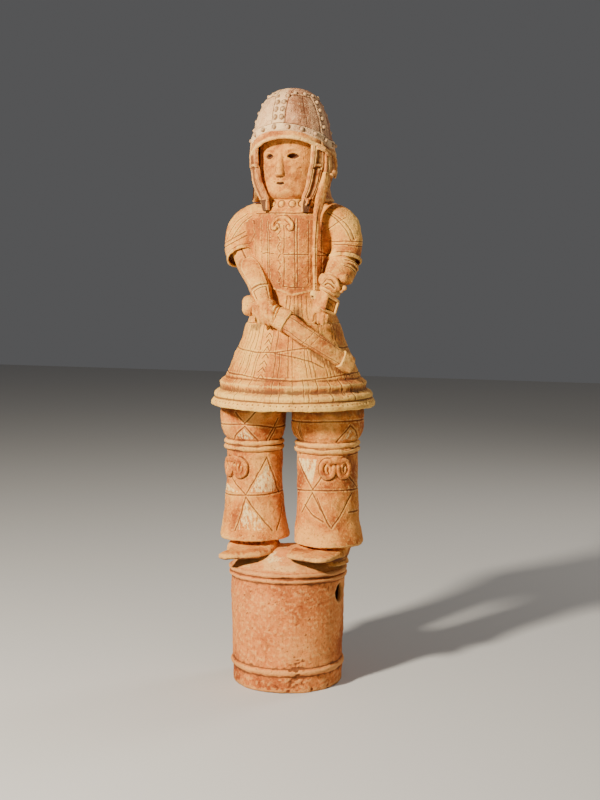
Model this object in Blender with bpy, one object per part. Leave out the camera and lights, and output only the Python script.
# An armoured haniwa warrior of fired clay, standing on its hollow cylinder base.
# It faces -Y, its left hand is towards +X and +Z is up. The origin lies under the middle of its extent, level with
# the base's underside. While it is built, X and Y are counted from the base's axis.

import math

import bmesh
import bpy
from mathutils import Matrix, Vector

# Sizes of the base and of every wall, in metres
BASE_HEIGHT = 0.26
BASE_FOOT_RADIUS = 0.1205
BASE_TOP_RADIUS = 0.1285
BASE_WALL = 0.013
FOOT_BAND_HEIGHT = 0.047
FOOT_BAND_WIDTH = 0.017
COLLAR_WIDTH = 0.022
COLLAR_RISE = 0.007
BAND_PROUD = 0.0045
LID_RISE = 0.042
LID_HOLLOW_RISE = 0.012
SIDE_HOLE_DIAMETER = 0.046
SIDE_HOLE_BELOW_TOP = 0.050
SIDE_HOLE_TURN = 5.0
SKIRT_WALL = 0.013

# Height of the figure above the base. Its free forms are drawn on a canon of 105 parts to this height.
FIGURE_HEIGHT = 1.05
PART = FIGURE_HEIGHT / 105

# Rings closer than this along a limb share its direction, in parts
STEADY = 1.2

# Pose, in parts and degrees. Each knot below a knee has its angle from the front and its height.
UPPER_SHIFT = 1.1
HEAD_SHIFT = 0.9
HEAD_TURN = -4.0
HELMET_TURN = -11.0
RIGHT_KNOT = (-27.0, 22.4)
LEFT_KNOT = (33.0, 23.2)

# How finely the round forms are cut
BASE_SIDES = 32
HOLE_SIDES = 12
LEG_SIDES = 18
SKIRT_SIDES = 28
ARM_SIDES = 8
HEAD_SIDES = 18
HELMET_SIDES = 20
FINGER_SIDES = 5

CLAY_COLOUR = (0.62, 0.36, 0.20, 1.0)
CLAY_ROUGHNESS = 0.85

# Legs as (height, radius, sideways place) from the ankle up, in parts, knee band in the middle
RIGHT_LEG = (
    (1.0, 3.6, -7.6), (6.6, 3.9, -7.6), (6.15, 7.5, -7.9), (6.6, 7.75, -7.9), (11.5, 6.8, -7.9),
    (25.9, 6.2, -7.9), (26.3, 6.65, -8.0), (26.9, 6.65, -8.0), (27.15, 6.4, -8.0), (27.4, 6.6, -8.0),
    (28.1, 6.6, -8.0), (28.4, 6.1, -8.0), (29.6, 6.8, -8.2), (31.5, 7.3, -8.3), (34.5, 7.4, -8.2),
    (37.5, 7.1, -7.9), (43.0, 5.6, -6.3), (49.8, 4.6, -4.4),
)
LEFT_LEG = (
    (1.0, 3.6, 8.8), (6.4, 3.9, 8.8), (5.9, 7.4, 9.6), (6.4, 7.65, 9.6), (11.5, 6.9, 9.3),
    (26.2, 6.7, 9.1), (26.6, 7.15, 9.1), (27.2, 7.15, 9.1), (27.45, 6.9, 9.1), (27.7, 7.1, 9.1),
    (28.4, 7.1, 9.1), (28.7, 6.6, 9.1), (29.9, 7.4, 9.1), (31.8, 7.9, 9.2), (34.8, 8.0, 9.2),
    (37.5, 7.4, 8.9), (43.0, 5.7, 7.6), (49.8, 4.6, 6.6),
)
LEGGING = 4

# Feet as (depth, inner side, outer side, underside, top), heel to toe, and the clay built up under each
RIGHT_FOOT = (
    (4.8, -5.6, -10.6, 1.6, 4.4), (2.5, -3.0, -12.4, 1.8, 5.4), (-2.0, -1.8, -12.7, 2.0, 6.0),
    (-7.4, -1.6, -12.5, 2.8, 4.6), (-10.4, -6.6, -12.3, 2.9, 4.3), (-12.7, -10.2, -12.1, 2.9, 4.1),
)
LEFT_FOOT = (
    (4.8, 6.0, 11.8, 1.6, 4.4), (2.5, 3.2, 13.8, 1.8, 5.6), (-2.0, 2.6, 14.2, 2.2, 6.0),
    (-6.5, 2.5, 13.8, 3.1, 5.0), (-10.0, 2.9, 12.9, 3.3, 4.7), (-11.4, 4.6, 10.8, 3.4, 4.5),
)
MOUND = ((0.75, 5.0), (2.4, 4.7), (4.4, 4.0))
RIGHT_MOUND = (-6.6, 0.5)
LEFT_MOUND = (8.4, 0.8)

# Skirt and body armour as (height, half width, half depth), hem to neck, in parts
SKIRT = (
    (36.2, 18.1, 17.0), (36.9, 18.4, 17.2), (38.3, 17.6, 16.5), (39.3, 17.4, 16.3), (39.85, 16.4, 15.2),
    (41.3, 16.2, 15.1), (42.2, 15.3, 14.4), (43.3, 14.6, 13.8), (51.0, 11.3, 10.7),
    (56.5, 9.2, 8.8), (61.6, 8.0, 7.5),
)
TORSO = (
    (67.0, 8.85, 7.75), (72.0, 9.6, 7.9), (75.0, 9.5, 7.6), (77.0, 8.7, 6.9), (78.8, 6.5, 5.7), (80.3, 5.3, 5.1),
    (83.0, 5.0, 5.0),
)
SKIRT_ROLLS_TOP = 7
SKIRT_HOLLOW_TOP = 50.5

# Sleeve as (sideways, depth, height, half width), from inside the shoulder to its hem
SLEEVE = (
    (4.0, 0.0, 75.6, 3.8), (8.0, 0.0, 76.1, 4.25), (10.9, -0.2, 74.8, 4.0), (12.2, -0.6, 72.3, 3.55),
    (12.4, -1.2, 69.8, 3.3), (12.1, -1.7, 68.0, 3.2),
)
RIGHT_FOREARM = (
    (-12.2, -1.0, 71.0, 2.3), (-11.3, -2.6, 67.9, 2.35), (-8.4, -6.0, 64.6, 2.35), (-5.6, -8.8, 61.9, 2.15),
    (-4.6, -9.6, 60.6, 2.3), (-3.6, -10.6, 59.2, 2.4),
)
LEFT_FOREARM = (
    (12.0, -1.0, 71.0, 2.5), (11.7, -2.6, 67.6, 2.7), (11.2, -4.6, 65.0, 2.7), (10.6, -6.2, 62.4, 2.4),
    (10.0, -7.0, 60.4, 2.2),
)

# Right hand and the sword that it holds, as places relative to the body's axis
RIGHT_HAND = (-3.2, -11.0, 57.6)
SWORD = (
    (-7.9, -10.5, 58.6, 1.2, 1.0), (-7.7, -10.5, 58.5, 1.9, 1.5), (-6.6, -10.6, 58.2, 2.3, 1.8),
    (-5.7, -10.7, 57.9, 2.1, 1.6), (-5.3, -10.7, 57.8, 1.3, 1.1), (-1.0, -11.6, 56.5, 1.3, 1.1),
    (-0.9, -11.7, 56.45, 2.1, 1.4), (0.2, -11.8, 56.1, 2.1, 1.4), (0.3, -11.8, 56.05, 1.9, 1.15),
    (0.45, -11.8, 56.0, 2.25, 1.35), (2.5, -11.8, 54.9, 2.25, 1.35), (2.6, -11.75, 54.85, 2.05, 1.1),
    (5.2, -11.3, 53.0, 1.98, 1.1), (8.8, -9.6, 50.3, 1.85, 1.1), (11.6, -7.3, 48.0, 1.75, 1.1),
    (12.7, -6.1, 47.0, 1.75, 1.1), (12.8, -6.0, 46.9, 1.95, 1.3), (14.4, -4.0, 45.4, 1.95, 1.3),
    (14.8, -3.5, 45.05, 1.5, 1.1),
)
SWORD_FILLET = ((6.0, -9.3, 52.0, 1.1), (9.5, -7.6, 49.3, 1.4), (12.6, -4.6, 46.4, 1.7), (14.0, -2.6, 45.0, 1.2))

# Left hand: hand guard, fingers, wrist pad and the stub of the bow's grip
LEFT_HAND = (9.5, -7.7, 58.3)
BOW_STAVE = (
    (7.5, -6.9, 61.2, 0.5, 0.6), (7.6, -7.0, 66.0, 0.5, 0.6), (7.7, -7.1, 72.0, 0.5, 0.6),
    (7.9, -6.9, 76.0, 0.6, 0.6), (8.2, -6.5, 79.0, 0.8, 0.6), (8.7, -5.9, 81.8, 0.9, 0.6),
    (9.2, -5.2, 84.5, 0.95, 0.6), (9.6, -4.4, 88.0, 0.9, 0.6), (9.7, -4.0, 92.0, 0.8, 0.55),
)

# Head and helmet as (height, half width, half depth, forward shift)
HEAD = (
    (80.9, 3.4, 3.4, 1.6), (81.5, 4.9, 4.9, 1.3), (82.8, 6.0, 6.1, 0.8), (85.2, 6.7, 6.8, 0.5),
    (88.5, 7.0, 7.1, 0.3), (93.0, 7.0, 7.1, 0.2), (96.0, 6.9, 7.0, 0.0), (99.0, 5.6, 5.8, 0.0),
)
HELMET = (
    (93.3, 8.85, 9.3), (94.0, 8.95, 9.4), (94.6, 8.35, 8.8), (97.0, 8.0, 8.4), (99.5, 7.25, 7.6), (101.7, 6.2, 6.5),
    (103.3, 4.7, 4.9), (104.3, 2.8, 2.9),
)
HELMET_TOP = 104.7
BRIM_RISE = 1.3
VISOR = ((92.4, 9.0, 9.5), (93.0, 8.75, 9.2), (94.4, 8.4, 8.9))
VISOR_HALF_ANGLE = 62.0

# Cheek guard as (angle from the front, distance from the axis, height, half width)
CHEEK_GUARD = (
    (47, 8.3, 95.0, 1.85), (47, 8.95, 92.6, 1.9), (46.5, 9.05, 90.0, 1.9), (46, 8.95, 87.6, 1.85),
    (44, 8.45, 85.0, 1.75), (41, 7.7, 82.6, 1.6), (38, 7.0, 80.9, 1.45), (36, 6.9, 79.6, 1.1), (35, 6.8, 78.3, 0.8),
)
CHEEK_GUARD_THICK = 0.95

# Neck guard as (height, distance from the axis), and the half angle that it leaves open at the front
NECK_GUARD = (
    (94.6, 8.6), (90.6, 9.45), (90.3, 9.15), (87.2, 8.95), (86.9, 8.6), (83.4, 8.1), (80.8, 8.95),
)
NECK_GUARD_OPEN = 72.0
NECK_GUARD_THICK = 0.8

# Helmet bosses: angles of the upright rows, their heights, and the row above the brim
BOSS_RADIUS = 0.45
BOSS_ROWS = (-48, -7, 7, 70, 180)
BOSS_HEIGHTS = (97.4, 99.7, 101.9)
BRIM_BOSSES = 14
HEAD_MIDDLE = 92
BRIM_BOSS_HEIGHT = 94.9
BEAD_ANGLES = (-56, -28, 0, 28, 56)
BEAD_RADIUS = 0.72
BEAD_HEIGHT = 80.0


def at(x, y, z):
    return Vector((x * PART, y * PART, BASE_HEIGHT + z * PART))


def on_body(x, y, z):
    return at(x + UPPER_SHIFT, y, z)


def turned(degrees, half_width, half_depth):
    angle = math.radians(degrees)
    return half_width * math.sin(angle), -half_depth * math.cos(angle)


def oval(x, y, z, half_width, half_depth, sides, rise=0.0, turn=0.0):
    ring = []
    for side in range(sides):
        degrees = 360 * side / sides + turn
        across, deep = turned(degrees, half_width, half_depth)
        ring.append(at(x + across, y + deep, z + rise * math.cos(math.radians(degrees - turn))))
    return ring


def metre_ring(radius, z, sides):
    ring = []
    for side in range(sides):
        across, deep = turned(360 * side / sides, radius, radius)
        ring.append(Vector((across, deep, z)))
    return ring


def round_outline(sides):
    return [(math.cos(2 * math.pi * i / sides), math.sin(2 * math.pi * i / sides)) for i in range(sides)]


def square_outline(corner=0.55):
    return [(1, -corner), (1, corner), (corner, 1), (-corner, 1), (-1, corner), (-1, -corner), (-corner, -1), (corner, -1)]


def swept(path, outward, outline):
    """Rings of outline carried along path, each entry (centre, half width, half thickness). outward gives the thickness's side."""
    rings = []
    for index, (centre, half_width, half_thick) in enumerate(path):
        before = next((c for c, w, t in reversed(path[:index]) if (c - centre).length > STEADY * PART), path[0][0])
        after = next((c for c, w, t in path[index:] if (c - centre).length > STEADY * PART), path[-1][0])
        along = (after - before).normalized()
        out = outward(centre)
        out = (out - along * out.dot(along)).normalized()
        across = along.cross(out)
        rings.append([centre + across * (s * half_width) + out * (t * half_thick) for s, t in outline])
    return rings


def away_from_body(centre):
    return Vector((centre.x - UPPER_SHIFT * PART, centre.y, 0)).normalized()


def forwards(centre):
    return Vector((0, -1, 0))


def extruded(mesh, row, ring):
    edges = [mesh.edges.get((row[i - 1], row[i])) for i in range(len(row))]
    made = bmesh.ops.extrude_edge_only(mesh, edges=edges)["geom"]
    fresh = {part for part in made if isinstance(part, bmesh.types.BMVert)}
    following = []
    for vert, spot in zip(row, ring):
        twin = next(e.other_vert(vert) for e in vert.link_edges if e.other_vert(vert) in fresh)
        twin.co = spot
        following.append(twin)
    return following


def capped(mesh, row, tip):
    cap = mesh.faces.new(row)
    if tip is not None:
        centre = bmesh.ops.poke(mesh, faces=[cap])["verts"][0]
        centre.co = tip


def add_loft(mesh, rings, first_tip=None, last_tip=None, joined=False):
    row = bmesh.ops.create_circle(mesh, segments=len(rings[0]), radius=1)["verts"]
    for vert, spot in zip(row, rings[0]):
        vert.co = spot
    first = row
    for ring in rings[1:]:
        row = extruded(mesh, row, ring)
    if joined:
        for i in range(len(row)):
            mesh.faces.new((row[i - 1], row[i], first[i], first[i - 1]))
        return
    capped(mesh, first, first_tip)
    capped(mesh, row, last_tip)


def is_flat(face):
    centre = face.calc_center_median()
    return all(abs((vert.co - centre).dot(face.normal)) < 1e-7 for vert in face.verts)


def finished(name, mesh):
    mesh.normal_update()
    bent = [face for face in mesh.faces if not is_flat(face)]
    bmesh.ops.triangulate(mesh, faces=bent, ngon_method="EAR_CLIP")
    bmesh.ops.recalc_face_normals(mesh, faces=mesh.faces[:])
    data = bpy.data.meshes.new(name)
    mesh.to_mesh(data)
    mesh.free()
    piece = bpy.data.objects.new(name, data)
    bpy.context.scene.collection.objects.link(piece)
    return piece


def loft(name, rings, **ends):
    mesh = bmesh.new()
    add_loft(mesh, rings, **ends)
    return finished(name, mesh)


def combined(piece, tool, operation):
    """piece after a Boolean with tool, which is used up."""
    step = piece.modifiers.new(operation.lower(), "BOOLEAN")
    step.object = tool
    step.operation = operation
    step.solver = "EXACT"
    graph = bpy.context.evaluated_depsgraph_get()
    result = bpy.data.meshes.new_from_object(piece.evaluated_get(graph))
    piece.modifiers.clear()
    piece.data = result
    bpy.data.objects.remove(tool)
    return piece


def base_radius(z):
    return BASE_FOOT_RADIUS + (BASE_TOP_RADIUS - BASE_FOOT_RADIUS) * z / BASE_HEIGHT


def band(centre, width, ridges):
    """(height, how far proud) of an applied clay band, low edge to high edge."""
    low = centre - width / 2
    points = [(low, 0.0)]
    for ridge in range(ridges):
        points += [(low + width * (ridge + 0.25) / ridges, BAND_PROUD), (low + width * (ridge + 0.75) / ridges, BAND_PROUD)]
        points.append((low + width * (ridge + 1) / ridges, BAND_PROUD * 0.35 if ridge < ridges - 1 else 0.0))
    return points


def lid_height(share):
    """Height of the domed lid's outer skin at this share of the base's radius."""
    return BASE_HEIGHT + LID_RISE * (1 - share ** 2.6)


def make_base():
    profile = [(0.0, 0.0)]
    profile += band(FOOT_BAND_HEIGHT, FOOT_BAND_WIDTH, 1)
    profile += band(BASE_HEIGHT - COLLAR_WIDTH / 2, COLLAR_WIDTH, 2)
    rings = [metre_ring(base_radius(z) + proud, z, BASE_SIDES) for z, proud in profile]
    for ring in rings:
        for spot in ring:
            toward_front = max(-spot.y, 0) / BASE_TOP_RADIUS
            spot.z += COLLAR_RISE * toward_front * (spot.z / BASE_HEIGHT) ** 4
    for share in (0.86, 0.5):
        rings.append(metre_ring(BASE_TOP_RADIUS * share, lid_height(share), BASE_SIDES))
    base = loft("base", rings, last_tip=Vector((0, 0, lid_height(0))))

    hollow = [
        metre_ring(BASE_FOOT_RADIUS - BASE_WALL, -BASE_WALL, BASE_SIDES),
        metre_ring(BASE_TOP_RADIUS - BASE_WALL, BASE_HEIGHT - BASE_WALL, BASE_SIDES),
    ]
    inside = loft("inside", hollow, last_tip=Vector((0, 0, BASE_HEIGHT + LID_HOLLOW_RISE - BASE_WALL)))
    combined(base, inside, "DIFFERENCE")

    hole_height = BASE_HEIGHT - SIDE_HOLE_BELOW_TOP
    half_hole = SIDE_HOLE_DIAMETER / 2
    reach = BASE_TOP_RADIUS + BASE_WALL
    swing = Matrix.Rotation(-math.radians(SIDE_HOLE_TURN), 3, "Z")
    rings = []
    for x in (-reach, reach):
        ring = [Vector((x, half_hole * c, hole_height + half_hole * s)) for c, s in round_outline(HOLE_SIDES)]
        rings.append([swing @ spot for spot in ring])
    return combined(base, loft("holes", rings), "DIFFERENCE")


def leg_at(leg, height):
    """Radius and sideways place of a leg at a height in parts, above the legging's hem."""
    for (low, first, x), (high, second, far_x) in zip(leg[LEGGING:], leg[LEGGING + 1:]):
        if height <= high:
            share = (height - low) / (high - low)
            return first + (second - first) * share, x + (far_x - x) * share
    return leg[-1][1:]


def make_leg(leg):
    return loft("leg", [oval(x, 0, z, r, r, LEG_SIDES) for z, r, x in leg])


def make_mound(place):
    return loft("mound", [oval(place[0], place[1], z, r, r, ARM_SIDES) for z, r in MOUND])


def make_foot(foot):
    rings = []
    for y, inner, outer, low, high in foot:
        middle = at((inner + outer) / 2, y, (low + high) / 2)
        half_width = (outer - inner) / 2 * PART
        half_high = (high - low) / 2 * PART
        rings.append([middle + Vector((s * half_width, 0, t * half_high)) for s, t in square_outline(0.7)])
    return loft("foot", rings)


def make_leg_loop(leg, knot, side):
    """One loop of the bow of clay cord that hangs from the knee band, laid round the leg."""
    turn, middle = knot
    rings = []
    for step in range(10):
        angle = 2 * math.pi * step / 10
        slide = side * (2.1 + 1.5 * math.cos(angle))
        height = middle + 2.2 * math.sin(angle) + 0.6 * math.cos(angle)
        radius, x = leg_at(leg, height)
        cord = []
        for s, t in ((0.55, -0.5), (0.45, 0.4), (-0.45, 0.4), (-0.55, -0.5)):
            wide = slide + side * s * math.cos(angle)
            across, deep = turned(turn + math.degrees(wide / radius), radius + t, radius + t)
            cord.append(at(x + across, deep, height + s * math.sin(angle)))
        rings.append(cord)
    return loft("leg_loop", rings, joined=True)


def make_body():
    """Skirt and torso in one wall of clay, hollow under the skirt."""
    rings = [oval(UPPER_SHIFT, 0, z, a, b, SKIRT_SIDES) for z, a, b in SKIRT + TORSO]
    body = loft("body", rings)
    wall = SKIRT_WALL / PART
    hollow = [oval(UPPER_SHIFT, 0, SKIRT[0][0] - wall, SKIRT[0][1] - wall, SKIRT[0][2] - wall, SKIRT_SIDES)]
    hollow.append(oval(UPPER_SHIFT, 0, SKIRT[1][0], SKIRT[1][1] - wall, SKIRT[1][2] - wall, SKIRT_SIDES))
    low, half_width, half_depth = SKIRT[SKIRT_ROLLS_TOP]
    hollow.append(oval(UPPER_SHIFT, 0, low, half_width - wall, half_depth - wall, SKIRT_SIDES))
    half_width, half_depth = SKIRT[SKIRT_ROLLS_TOP + 1][1:]
    hollow.append(oval(UPPER_SHIFT, 0, SKIRT_HOLLOW_TOP - wall, half_width - wall, half_depth - wall, SKIRT_SIDES))
    return combined(body, loft("under_skirt", hollow), "DIFFERENCE")


def limb_path(points):
    return [(on_body(x, y, z), r * PART, r * PART) for x, y, z, r in points]


def make_sleeve(side):
    points = [(side * x, y, z, r) for x, y, z, r in SLEEVE]
    return loft("sleeve", swept(limb_path(points), forwards, round_outline(ARM_SIDES + 4)))


def make_forearm(points):
    return loft("forearm", swept(limb_path(points), forwards, round_outline(ARM_SIDES)))


def flat_path(points):
    return [(on_body(x, y, z), wide * PART, thick * PART) for x, y, z, wide, thick in points]


def make_sword():
    return loft("sword", swept(flat_path(SWORD), away_from_body, square_outline(0.6)))


def make_sword_fillet():
    return loft("sword_fillet", swept(limb_path(SWORD_FILLET), away_from_body, round_outline(6)))


def make_bow_stave():
    return loft("bow_stave", swept(flat_path(BOW_STAVE), away_from_body, square_outline(0.6)))


def make_finger(start, end, radius):
    path = [(start + (end - start) * t, radius * r, radius * r) for t, r in ((0, 1), (0.8, 1), (1, 0.6))]
    return loft("finger", swept(path, forwards, round_outline(FINGER_SIDES)))


def make_right_hand():
    x, y, z = RIGHT_HAND
    palm = [(x - 0.3, y + 0.6, z + 2.2, 1.9), (x - 0.1, y + 0.1, z + 1.0, 2.3), (x, y + 0.4, z - 0.6, 2.0)]
    hand = loft("hand", swept(limb_path(palm), forwards, round_outline(10)))
    for finger in range(4):
        shift = (finger - 1.5) * 1.05
        start = on_body(x + 0.2 + shift, y - 1.15 - 0.1 * shift, z + 1.2)
        end = on_body(x + 0.6 + shift, y - 0.9, z - 2.3 - 0.15 * finger)
        combined(hand, make_finger(start, end, 0.62 * PART), "UNION")
    return hand


def make_left_hand():
    x, y, z = LEFT_HAND
    guard = [
        (x + 0.9, y + 0.1, z + 2.9, 2.0, 1.3), (x + 0.5, y - 0.1, z + 1.6, 2.05, 1.45),
        (x - 0.5, y - 0.3, z - 0.9, 1.9, 1.35), (x - 0.8, y - 0.2, z - 1.7, 1.6, 1.1),
    ]
    hand = loft("hand_guard", swept(flat_path(guard), away_from_body, square_outline(0.75)))
    for finger in range(4):
        slide = (finger - 1.5) * 0.85
        start = on_body(x - 0.6 + slide * 0.75, y - 0.3 + slide * 0.6, z - 1.2)
        end = on_body(x - 1.9 + slide * 0.65, y + 0.1 + slide * 0.55, z - 3.8 + 0.25 * abs(finger - 1))
        combined(hand, make_finger(start, end, 0.52 * PART), "UNION")
    thumb = make_finger(on_body(x - 1.6, y - 0.2, z + 1.8), on_body(x - 2.9, y + 0.5, z - 2.6), 0.62 * PART)
    return combined(hand, thumb, "UNION")


def make_lump(centre, radii):
    """A hand-rolled lump of clay."""
    mesh = bmesh.new()
    made = bmesh.ops.create_uvsphere(mesh, u_segments=8, v_segments=5, radius=1)["verts"]
    for vert in made:
        vert.co = centre + Vector((vert.co.x * radii[0], vert.co.y * radii[1], vert.co.z * radii[2])) * PART
    return finished("lump", mesh)


def head_ring(z, half_width, half_depth, forward, sides, turn, rise=0.0):
    across, deep = turned(turn, forward, forward)
    return oval(HEAD_SHIFT + across, deep, z, half_width, half_depth, sides, rise=rise, turn=turn)


def make_head():
    return loft("head", [head_ring(z, a, b, f, HEAD_SIDES, HEAD_TURN) for z, a, b, f in HEAD])


def on_head(angle, half_width, half_depth, z):
    across, deep = turned(angle, half_width, half_depth)
    return at(HEAD_SHIFT + across, deep, z)


def on_face(angle, distance, z):
    return on_head(angle + HEAD_TURN, distance, distance, z)


# Face on plain proportions: the eye line is halfway up the head, chin to crown of the clay head
FACE_CHIN = 81.2
FACE_CROWN = 98.6
EYE_LINE = (FACE_CHIN + FACE_CROWN) / 2
NOSE_END = (FACE_CHIN + EYE_LINE) / 2 + 0.4
MOUTH_LINE = FACE_CHIN + (NOSE_END - FACE_CHIN) * 0.62
FACE_FRONT = 7.4


def make_nose():
    rings = []
    for share, half_width, proud in ((0.0, 0.95, 1.3), (0.12, 1.0, 1.35), (0.6, 0.62, 0.75), (1.0, 0.5, 0.1)):
        z = NOSE_END + (EYE_LINE + 0.6 - NOSE_END) * share
        ring = []
        for s, t in ((-1.0, -1.0), (1.0, -1.0), (0.75, 0.3), (0.25, 1.0), (-0.25, 1.0), (-0.75, 0.3)):
            distance = FACE_FRONT + (proud if t > 0 else proud * t * 0.5)
            side = Vector((math.cos(math.radians(HEAD_TURN)), math.sin(math.radians(HEAD_TURN)), 0))
            ring.append(on_face(0, distance, z) + side * (s * half_width * PART))
        rings.append(ring)
    return loft("nose", rings)


def make_slit(angle, half_span, z, half_height):
    """A cutter for an eye or the mouth: a pointed slit that runs in from the front of the face."""
    outline = [(-1, 0), (-0.6, 0.75), (0, 1), (0.6, 0.75), (1, 0), (0.6, -0.75), (0, -1), (-0.6, -0.75)]
    rings = []
    for distance in (FACE_FRONT - 2.4, FACE_FRONT + 1.6):
        rings.append([on_face(angle + s * half_span, distance, z + t * half_height) for s, t in outline])
    return loft("slit", rings)


def brim_rise(z):
    """How far the helmet's front is lifted over its level at this height."""
    return BRIM_RISE * (HELMET_TOP - z) / (HELMET_TOP - HELMET[0][0])


def make_helmet():
    rings = []
    for z, half_width, half_depth in HELMET:
        rings.append(head_ring(z, half_width, half_depth, 0, HELMET_SIDES, HELMET_TURN, rise=brim_rise(z)))
    return loft("helmet", rings, last_tip=on_head(0, 0, 0, HELMET_TOP))


def make_visor():
    """The band under the brim, across the forehead, with a lip along its lower edge."""
    rings = []
    steps = 10
    for step in range(steps + 1):
        angle = VISOR_HALF_ANGLE * (2 * step / steps - 1)
        lift = BRIM_RISE * math.cos(math.radians(angle)) * 1.15
        ring = []
        for z, a, b in VISOR:
            ring.append(on_head(angle + HELMET_TURN, a, b, z + lift))
        for z, a, b in reversed(VISOR):
            ring.append(on_head(angle + HELMET_TURN, a - 0.75, b - 0.75, z + lift))
        rings.append(ring)
    return loft("visor", rings)


def make_cheek_guard(side):
    """A curved plate with a raised rim down each edge."""
    outline = ((-1, -0.5), (1, -0.5), (1, 0.5), (0.66, 0.5), (0.56, 0.22), (-0.56, 0.22), (-0.66, 0.5), (-1, 0.5))
    rings = []
    for angle, distance, z, half_width in CHEEK_GUARD:
        centre = on_face(side * angle, distance, z)
        out = (centre - at(HEAD_SHIFT, 0, z)).normalized()
        sideways = Vector((-out.y, out.x, 0))
        ring = [centre + sideways * (s * half_width * PART) + out * (t * CHEEK_GUARD_THICK * PART) for s, t in outline]
        rings.append(ring)
    return loft("cheek_guard", rings)


def make_neck_guard():
    """Tiers of lamellae round the back of the head, from ear to ear."""
    inside = [(z, distance - NECK_GUARD_THICK) for z, distance in (NECK_GUARD[-1], NECK_GUARD[-2], NECK_GUARD[0])]
    steps = 12
    rings = []
    for step in range(steps + 1):
        angle = NECK_GUARD_OPEN + (360 - 2 * NECK_GUARD_OPEN) * step / steps + HEAD_TURN
        ring = []
        for z, distance in NECK_GUARD + tuple(inside):
            ring.append(on_head(angle, distance, distance * 1.03, z))
        rings.append(ring)
    return loft("neck_guard", rings)


def helmet_size(z):
    for (low, a, b), (high, c, d) in zip(HELMET, HELMET[1:]):
        if z <= high:
            share = (z - low) / (high - low)
            return a + (c - a) * share, b + (d - b) * share
    return HELMET[-1][1:]


def add_disc(mesh, centre, behind, radius, sides):
    """A low round boss that faces away from the point behind it."""
    turn = Vector((0, 0, 1)).rotation_difference(centre - behind).to_matrix().to_4x4()
    bmesh.ops.create_cone(
        mesh, cap_ends=True, segments=sides, radius1=radius, radius2=radius * 0.6, depth=radius * 1.6,
        matrix=Matrix.Translation(centre) @ turn)


def make_bosses():
    mesh = bmesh.new()
    spots = [(angle, z) for angle in BOSS_ROWS for z in BOSS_HEIGHTS]
    spots += [(360 * (i + 0.5) / BRIM_BOSSES, BRIM_BOSS_HEIGHT) for i in range(BRIM_BOSSES)]
    for angle, z in spots:
        half_width, half_depth = helmet_size(z)
        rise = brim_rise(z) * math.cos(math.radians(angle))
        spot = on_head(angle + HELMET_TURN, half_width, half_depth, z + rise)
        add_disc(mesh, spot, on_head(0, 0, 0, HEAD_MIDDLE), BOSS_RADIUS * PART, 5)
    return finished("bosses", mesh)


def make_beads():
    mesh = bmesh.new()
    for angle in BEAD_ANGLES:
        add_disc(mesh, on_face(angle, 5.6, BEAD_HEIGHT), on_face(0, 0, BEAD_HEIGHT), BEAD_RADIUS * PART, 6)
    return finished("beads", mesh)


def torso_size(z):
    for (low, a, b), (high, c, d) in zip(TORSO, TORSO[1:]):
        if low <= z <= high:
            share = (z - low) / (high - low)
            return a + (c - a) * share, b + (d - b) * share
    return TORSO[0][1:]


# Chest knot as (angle from the front, height), the centre line of one drooping loop
CHEST_LOOP = ((3, 77.1), (8, 76.9), (14, 75.6), (13.5, 74.2), (8.5, 74.3))
CHEST_KNOT = (76.9, 1.0)


def make_chest_loop(side):
    path = []
    for angle, z in CHEST_LOOP:
        a, b = torso_size(z)
        across, deep = turned(side * angle, a, b)
        path.append((on_body(across, deep, z), 0.38 * PART, 0.38 * PART))
    return loft("chest_loop", swept(path, away_from_body, round_outline(4)))


def make_chest_knot():
    z, radius = CHEST_KNOT
    half_depth = torso_size(z)[1]
    mesh = bmesh.new()
    add_disc(mesh, on_body(0, -half_depth, z), on_body(0, 0, z), radius * PART, 6)
    return finished("chest_knot", mesh)


def clay():
    material = bpy.data.materials.new("fired_clay")
    material.use_nodes = True
    shader = material.node_tree.nodes["Principled BSDF"]
    shader.inputs["Base Color"].default_value = CLAY_COLOUR
    shader.inputs["Roughness"].default_value = CLAY_ROUGHNESS
    return material


def centre_over_origin(piece):
    """Puts the middle of the piece's extent across and front to back over the origin."""
    corners = [Vector(corner) for corner in piece.bound_box]
    middle = sum(corners, Vector()) / len(corners)
    piece.data.transform(Matrix.Translation((-middle.x, -middle.y, 0)))


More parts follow.
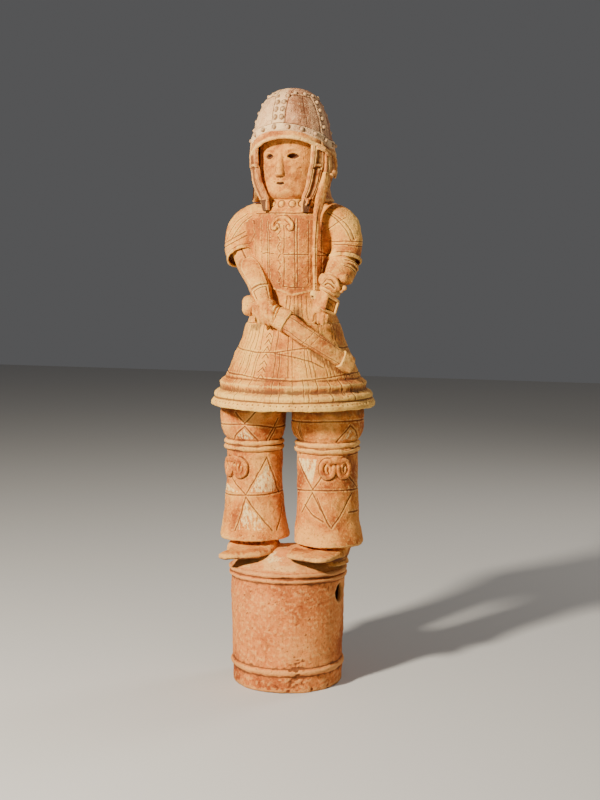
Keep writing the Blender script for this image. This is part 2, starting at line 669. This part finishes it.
def main():
    for old in list(bpy.data.objects):
        bpy.data.objects.remove(old)

    figure = make_base()
    sides = ((RIGHT_LEG, RIGHT_FOOT, RIGHT_MOUND, RIGHT_KNOT), (LEFT_LEG, LEFT_FOOT, LEFT_MOUND, LEFT_KNOT))
    for leg, foot, mound, knot in sides:
        combined(figure, make_leg(leg), "UNION")
        combined(figure, make_mound(mound), "UNION")
        combined(figure, make_foot(foot), "UNION")
        for side in (-1, 1):
            combined(figure, make_leg_loop(leg, knot, side), "UNION")
    combined(figure, make_body(), "UNION")
    for side in (-1, 1):
        combined(figure, make_sleeve(side), "UNION")
    combined(figure, make_forearm(RIGHT_FOREARM), "UNION")
    combined(figure, make_forearm(LEFT_FOREARM), "UNION")
    combined(figure, make_sword(), "UNION")
    combined(figure, make_sword_fillet(), "UNION")
    combined(figure, make_right_hand(), "UNION")
    combined(figure, make_left_hand(), "UNION")
    combined(figure, make_lump(on_body(10.2, -7.9, 62.2), (2.6, 2.0, 1.7)), "UNION")
    combined(figure, make_lump(on_body(8.4, -8.7, 63.2), (1.4, 1.2, 1.2)), "UNION")
    combined(figure, make_lump(on_body(7.3, -7.6, 60.4), (1.2, 1.1, 1.1)), "UNION")
    combined(figure, make_bow_stave(), "UNION")

    head = combined(make_head(), make_nose(), "UNION")
    for cutter in (make_slit(-24, 11, EYE_LINE, 0.55), make_slit(24, 11, EYE_LINE, 0.55), make_slit(0, 9, MOUTH_LINE, 0.3)):
        combined(head, cutter, "DIFFERENCE")
    helmet = combined(make_helmet(), make_visor(), "UNION")
    combined(helmet, make_bosses(), "UNION")
    combined(head, helmet, "UNION")
    for side in (-1, 1):
        combined(head, make_cheek_guard(side), "UNION")
    combined(head, make_neck_guard(), "UNION")
    combined(figure, head, "UNION")
    combined(figure, make_beads(), "UNION")
    for side in (-1, 1):
        combined(figure, make_chest_loop(side), "UNION")
    combined(figure, make_chest_knot(), "UNION")

    centre_over_origin(figure)
    figure.name = "haniwa_figure"
    figure.data.name = "haniwa_figure"
    figure.data.materials.clear()
    figure.data.materials.append(clay())
    figure.data.shade_smooth()
    figure.data.set_sharp_from_angle(angle=math.radians(40))


main()
